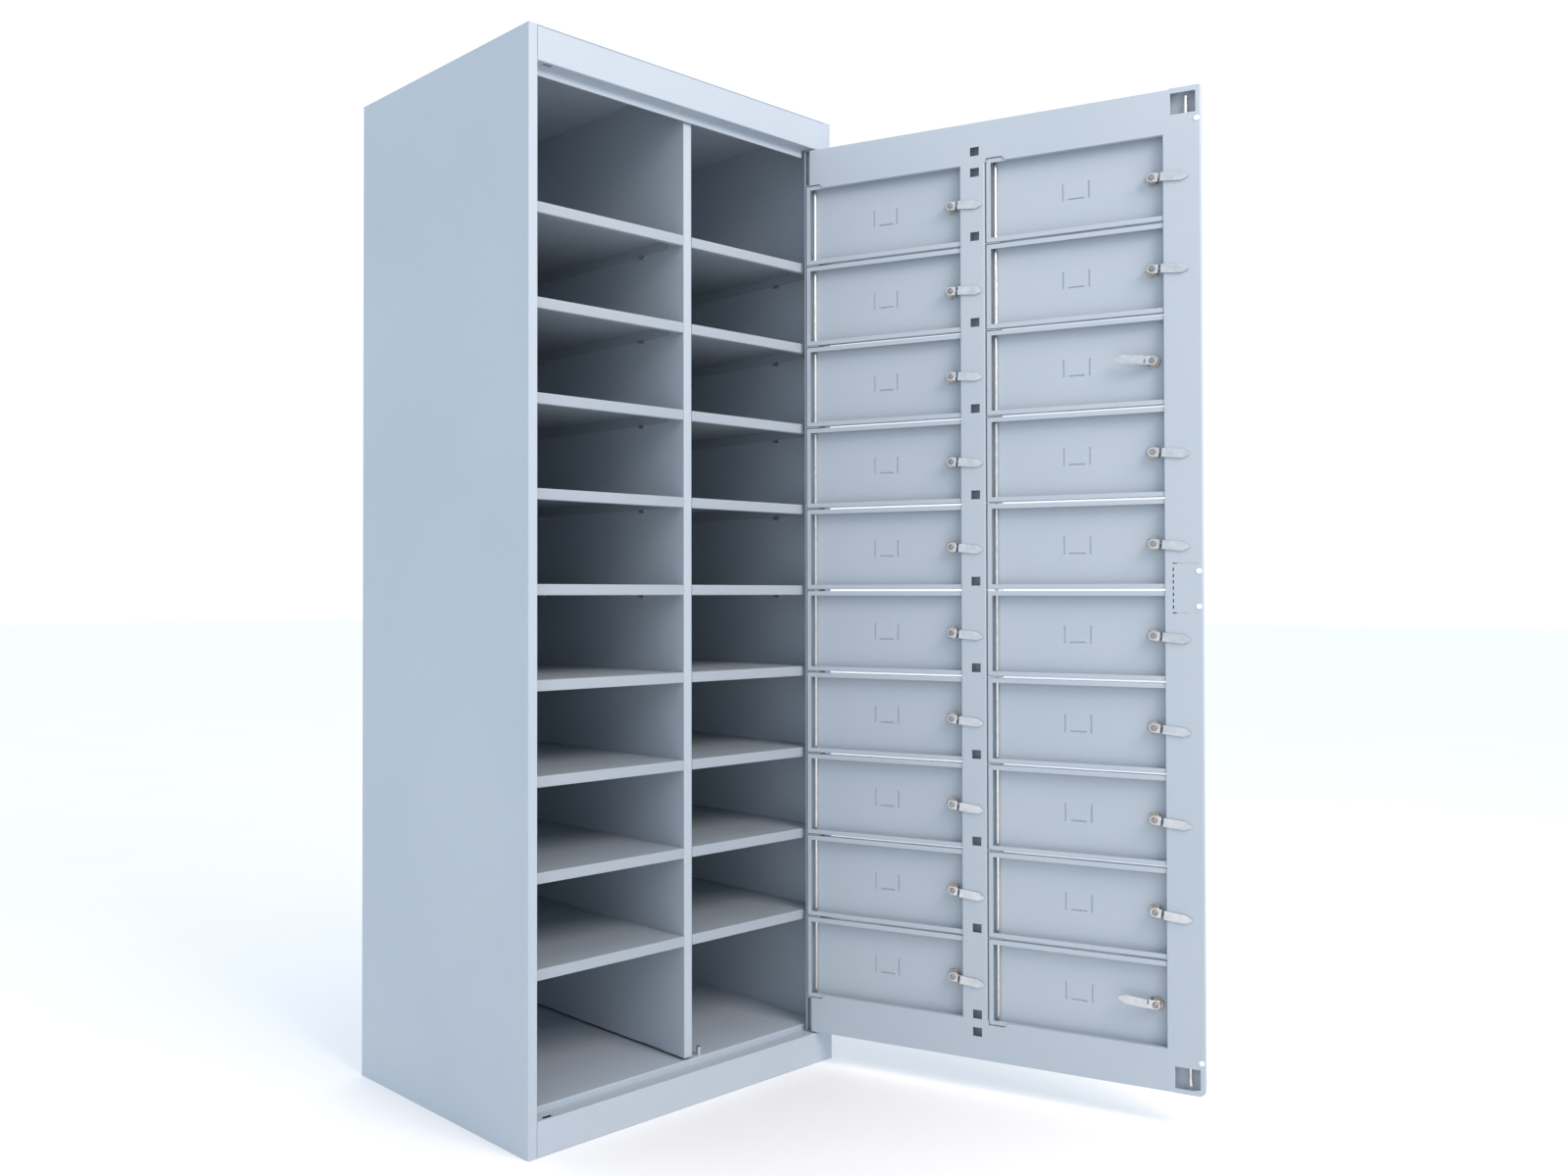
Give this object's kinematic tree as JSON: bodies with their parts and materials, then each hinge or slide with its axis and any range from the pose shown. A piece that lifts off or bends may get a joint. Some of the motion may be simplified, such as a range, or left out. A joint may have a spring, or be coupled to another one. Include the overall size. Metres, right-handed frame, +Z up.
{
  "type": "parcel locker",
  "caption": "Tall sheet-steel parcel locker with shelved columns of compartments behind one swinging master door that carries a small cam-locked door for each compartment.",
  "frame": {"origin": "on the ground under the middle of the cabinet's footprint", "axes": "+Z up, +Y from the open front to the back panel, +X to the hinge side; the master door stands open 110 degrees"},
  "size_m": [1.036, 1.2351, 1.95],
  "materials": {
    "carcass_paint": "satin powder coat",
    "shelf_paint": "satin powder coat",
    "door_paint": "satin powder coat",
    "leaf_paint": "satin powder coat",
    "zinc_plate": "zinc plated",
    "bright_steel": "drawn, bright",
    "handle_metal": "satin nickel",
    "cam_zinc": "bright zinc",
    "buffer_plastic": "moulded"
  },
  "bodies": {
    "cabinet": {"side_panel_left": "carcass_paint", "side_panel_right": "carcass_paint", "back_panel": "carcass_paint", "roof_panel": "carcass_paint", "header_rail": "carcass_paint", "plinth_rail": "carcass_paint", "floor_panel": "carcass_paint", "centre_divider": "carcass_paint", "shelves": "shelf_paint", "cabinet_fixings": "zinc_plate"},
    "master_door": {"hinge_stile": "door_paint", "centre_stile": "door_paint", "door_rails": "door_paint", "lock_stile": "door_paint", "hinge_rods": "bright_steel", "door_buffers": "buffer_plastic", "lock_case": "door_paint"},
    "handle": {"lock_handle": "handle_metal"},
    "upper_bolt": {"upper_bolt_rod": "bright_steel"},
    "lower_bolt": {"lower_bolt_rod": "bright_steel"},
    "door_01": {"compartment_door_01": "leaf_paint"},
    "cam_01": {"lock_cam_01": "cam_zinc"},
    "door_02": {"compartment_door_02": "leaf_paint"},
    "cam_02": {"lock_cam_02": "cam_zinc"},
    "door_03": {"compartment_door_03": "leaf_paint"},
    "cam_03": {"lock_cam_03": "cam_zinc"},
    "door_04": {"compartment_door_04": "leaf_paint"},
    "cam_04": {"lock_cam_04": "cam_zinc"},
    "door_05": {"compartment_door_05": "leaf_paint"},
    "cam_05": {"lock_cam_05": "cam_zinc"},
    "door_06": {"compartment_door_06": "leaf_paint"},
    "cam_06": {"lock_cam_06": "cam_zinc"},
    "door_07": {"compartment_door_07": "leaf_paint"},
    "cam_07": {"lock_cam_07": "cam_zinc"},
    "door_08": {"compartment_door_08": "leaf_paint"},
    "cam_08": {"lock_cam_08": "cam_zinc"},
    "door_09": {"compartment_door_09": "leaf_paint"},
    "cam_09": {"lock_cam_09": "cam_zinc"},
    "door_10": {"compartment_door_10": "leaf_paint"},
    "cam_10": {"lock_cam_10": "cam_zinc"},
    "door_11": {"compartment_door_11": "leaf_paint"},
    "cam_11": {"lock_cam_11": "cam_zinc"},
    "door_12": {"compartment_door_12": "leaf_paint"},
    "cam_12": {"lock_cam_12": "cam_zinc"},
    "door_13": {"compartment_door_13": "leaf_paint"},
    "cam_13": {"lock_cam_13": "cam_zinc"},
    "door_14": {"compartment_door_14": "leaf_paint"},
    "cam_14": {"lock_cam_14": "cam_zinc"},
    "door_15": {"compartment_door_15": "leaf_paint"},
    "cam_15": {"lock_cam_15": "cam_zinc"},
    "door_16": {"compartment_door_16": "leaf_paint"},
    "cam_16": {"lock_cam_16": "cam_zinc"},
    "door_17": {"compartment_door_17": "leaf_paint"},
    "cam_17": {"lock_cam_17": "cam_zinc"},
    "door_18": {"compartment_door_18": "leaf_paint"},
    "cam_18": {"lock_cam_18": "cam_zinc"},
    "door_19": {"compartment_door_19": "leaf_paint"},
    "cam_19": {"lock_cam_19": "cam_zinc"},
    "door_20": {"compartment_door_20": "leaf_paint"},
    "cam_20": {"lock_cam_20": "cam_zinc"}
  },
  "joints": [
    {"name": "master_hinge", "type": "hinge", "parent": "cabinet", "child": "master_door", "pos_m": [0.3583, -0.2665, 0.065], "axis": [0, 0, 1], "range_deg": [-110, 0]},
    {"name": "handle_turn", "type": "hinge", "parent": "master_door", "child": "handle", "pos_m": [0.60667, -0.93135, 0.975], "axis": [0.9397, 0.342, 0], "range_deg": [0, 90]},
    {"name": "upper_bolt_slide", "type": "slide", "parent": "master_door", "child": "upper_bolt", "axis": [0, 0, 1], "range_m": [0, 0.022]},
    {"name": "lower_bolt_slide", "type": "slide", "parent": "master_door", "child": "lower_bolt", "axis": [0, 0, -1], "range_m": [0, 0.022]},
    {"name": "door_01_hinge", "type": "hinge", "parent": "master_door", "child": "door_01", "pos_m": [0.3583, -0.2665, 1.729], "axis": [0, 0, 1], "range_deg": [0, 33]},
    {"name": "cam_01_turn", "type": "hinge", "parent": "door_01", "child": "cam_01", "pos_m": [0.4609, -0.53085, 1.729], "axis": [0.9397, 0.342, 0], "range_deg": [0, 180]},
    {"name": "door_02_hinge", "type": "hinge", "parent": "master_door", "child": "door_02", "pos_m": [0.3583, -0.2665, 1.561], "axis": [0, 0, 1], "range_deg": [0, 33]},
    {"name": "cam_02_turn", "type": "hinge", "parent": "door_02", "child": "cam_02", "pos_m": [0.4609, -0.53085, 1.561], "axis": [0.9397, 0.342, 0], "range_deg": [0, 180]},
    {"name": "door_03_hinge", "type": "hinge", "parent": "master_door", "child": "door_03", "pos_m": [0.3583, -0.2665, 1.393], "axis": [0, 0, 1], "range_deg": [0, 33]},
    {"name": "cam_03_turn", "type": "hinge", "parent": "door_03", "child": "cam_03", "pos_m": [0.4609, -0.53085, 1.393], "axis": [0.9397, 0.342, 0], "range_deg": [0, 180]},
    {"name": "door_04_hinge", "type": "hinge", "parent": "master_door", "child": "door_04", "pos_m": [0.3583, -0.2665, 1.225], "axis": [0, 0, 1], "range_deg": [0, 33]},
    {"name": "cam_04_turn", "type": "hinge", "parent": "door_04", "child": "cam_04", "pos_m": [0.4609, -0.53085, 1.225], "axis": [0.9397, 0.342, 0], "range_deg": [0, 180]},
    {"name": "door_05_hinge", "type": "hinge", "parent": "master_door", "child": "door_05", "pos_m": [0.3583, -0.2665, 1.057], "axis": [0, 0, 1], "range_deg": [0, 33]},
    {"name": "cam_05_turn", "type": "hinge", "parent": "door_05", "child": "cam_05", "pos_m": [0.4609, -0.53085, 1.057], "axis": [0.9397, 0.342, 0], "range_deg": [0, 180]},
    {"name": "door_06_hinge", "type": "hinge", "parent": "master_door", "child": "door_06", "pos_m": [0.3583, -0.2665, 0.889], "axis": [0, 0, 1], "range_deg": [0, 33]},
    {"name": "cam_06_turn", "type": "hinge", "parent": "door_06", "child": "cam_06", "pos_m": [0.4609, -0.53085, 0.889], "axis": [0.9397, 0.342, 0], "range_deg": [0, 180]},
    {"name": "door_07_hinge", "type": "hinge", "parent": "master_door", "child": "door_07", "pos_m": [0.3583, -0.2665, 0.721], "axis": [0, 0, 1], "range_deg": [0, 33]},
    {"name": "cam_07_turn", "type": "hinge", "parent": "door_07", "child": "cam_07", "pos_m": [0.4609, -0.53085, 0.721], "axis": [0.9397, 0.342, 0], "range_deg": [0, 180]},
    {"name": "door_08_hinge", "type": "hinge", "parent": "master_door", "child": "door_08", "pos_m": [0.3583, -0.2665, 0.553], "axis": [0, 0, 1], "range_deg": [0, 33]},
    {"name": "cam_08_turn", "type": "hinge", "parent": "door_08", "child": "cam_08", "pos_m": [0.4609, -0.53085, 0.553], "axis": [0.9397, 0.342, 0], "range_deg": [0, 180]},
    {"name": "door_09_hinge", "type": "hinge", "parent": "master_door", "child": "door_09", "pos_m": [0.3583, -0.2665, 0.385], "axis": [0, 0, 1], "range_deg": [0, 33]},
    {"name": "cam_09_turn", "type": "hinge", "parent": "door_09", "child": "cam_09", "pos_m": [0.4609, -0.53085, 0.385], "axis": [0.9397, 0.342, 0], "range_deg": [0, 180]},
    {"name": "door_10_hinge", "type": "hinge", "parent": "master_door", "child": "door_10", "pos_m": [0.3583, -0.2665, 0.217], "axis": [0, 0, 1], "range_deg": [0, 33]},
    {"name": "cam_10_turn", "type": "hinge", "parent": "door_10", "child": "cam_10", "pos_m": [0.4609, -0.53085, 0.217], "axis": [0.9397, 0.342, 0], "range_deg": [0, 180]},
    {"name": "door_11_hinge", "type": "hinge", "parent": "master_door", "child": "door_11", "pos_m": [0.4843, -0.61268, 1.729], "axis": [0, 0, 1], "range_deg": [0, 95]},
    {"name": "cam_11_turn", "type": "hinge", "parent": "door_11", "child": "cam_11", "pos_m": [0.5869, -0.87703, 1.729], "axis": [0.9397, 0.342, 0], "range_deg": [0, 180]},
    {"name": "door_12_hinge", "type": "hinge", "parent": "master_door", "child": "door_12", "pos_m": [0.4843, -0.61268, 1.561], "axis": [0, 0, 1], "range_deg": [0, 95]},
    {"name": "cam_12_turn", "type": "hinge", "parent": "door_12", "child": "cam_12", "pos_m": [0.5869, -0.87703, 1.561], "axis": [0.9397, 0.342, 0], "range_deg": [0, 180]},
    {"name": "door_13_hinge", "type": "hinge", "parent": "master_door", "child": "door_13", "pos_m": [0.4843, -0.61268, 1.393], "axis": [0, 0, 1], "range_deg": [0, 95]},
    {"name": "cam_13_turn", "type": "hinge", "parent": "door_13", "child": "cam_13", "pos_m": [0.5869, -0.87703, 1.393], "axis": [0.9397, 0.342, 0], "range_deg": [-180, 0]},
    {"name": "door_14_hinge", "type": "hinge", "parent": "master_door", "child": "door_14", "pos_m": [0.4843, -0.61268, 1.225], "axis": [0, 0, 1], "range_deg": [0, 95]},
    {"name": "cam_14_turn", "type": "hinge", "parent": "door_14", "child": "cam_14", "pos_m": [0.5869, -0.87703, 1.225], "axis": [0.9397, 0.342, 0], "range_deg": [0, 180]},
    {"name": "door_15_hinge", "type": "hinge", "parent": "master_door", "child": "door_15", "pos_m": [0.4843, -0.61268, 1.057], "axis": [0, 0, 1], "range_deg": [0, 95]},
    {"name": "cam_15_turn", "type": "hinge", "parent": "door_15", "child": "cam_15", "pos_m": [0.5869, -0.87703, 1.057], "axis": [0.9397, 0.342, 0], "range_deg": [0, 180]},
    {"name": "door_16_hinge", "type": "hinge", "parent": "master_door", "child": "door_16", "pos_m": [0.4843, -0.61268, 0.889], "axis": [0, 0, 1], "range_deg": [0, 95]},
    {"name": "cam_16_turn", "type": "hinge", "parent": "door_16", "child": "cam_16", "pos_m": [0.5869, -0.87703, 0.889], "axis": [0.9397, 0.342, 0], "range_deg": [0, 180]},
    {"name": "door_17_hinge", "type": "hinge", "parent": "master_door", "child": "door_17", "pos_m": [0.4843, -0.61268, 0.721], "axis": [0, 0, 1], "range_deg": [0, 95]},
    {"name": "cam_17_turn", "type": "hinge", "parent": "door_17", "child": "cam_17", "pos_m": [0.5869, -0.87703, 0.721], "axis": [0.9397, 0.342, 0], "range_deg": [0, 180]},
    {"name": "door_18_hinge", "type": "hinge", "parent": "master_door", "child": "door_18", "pos_m": [0.4843, -0.61268, 0.553], "axis": [0, 0, 1], "range_deg": [0, 95]},
    {"name": "cam_18_turn", "type": "hinge", "parent": "door_18", "child": "cam_18", "pos_m": [0.5869, -0.87703, 0.553], "axis": [0.9397, 0.342, 0], "range_deg": [0, 180]},
    {"name": "door_19_hinge", "type": "hinge", "parent": "master_door", "child": "door_19", "pos_m": [0.4843, -0.61268, 0.385], "axis": [0, 0, 1], "range_deg": [0, 95]},
    {"name": "cam_19_turn", "type": "hinge", "parent": "door_19", "child": "cam_19", "pos_m": [0.5869, -0.87703, 0.385], "axis": [0.9397, 0.342, 0], "range_deg": [0, 180]},
    {"name": "door_20_hinge", "type": "hinge", "parent": "master_door", "child": "door_20", "pos_m": [0.4843, -0.61268, 0.217], "axis": [0, 0, 1], "range_deg": [0, 95]},
    {"name": "cam_20_turn", "type": "hinge", "parent": "door_20", "child": "cam_20", "pos_m": [0.5869, -0.87703, 0.217], "axis": [0.9397, 0.342, 0], "range_deg": [-180, 0]}
  ],
  "couplings": [
    {"joint": "handle_turn", "follows": "upper_bolt_slide", "rad_per_m": 71.39},
    {"joint": "lower_bolt_slide", "follows": "upper_bolt_slide", "ratio": 1}
  ]
}
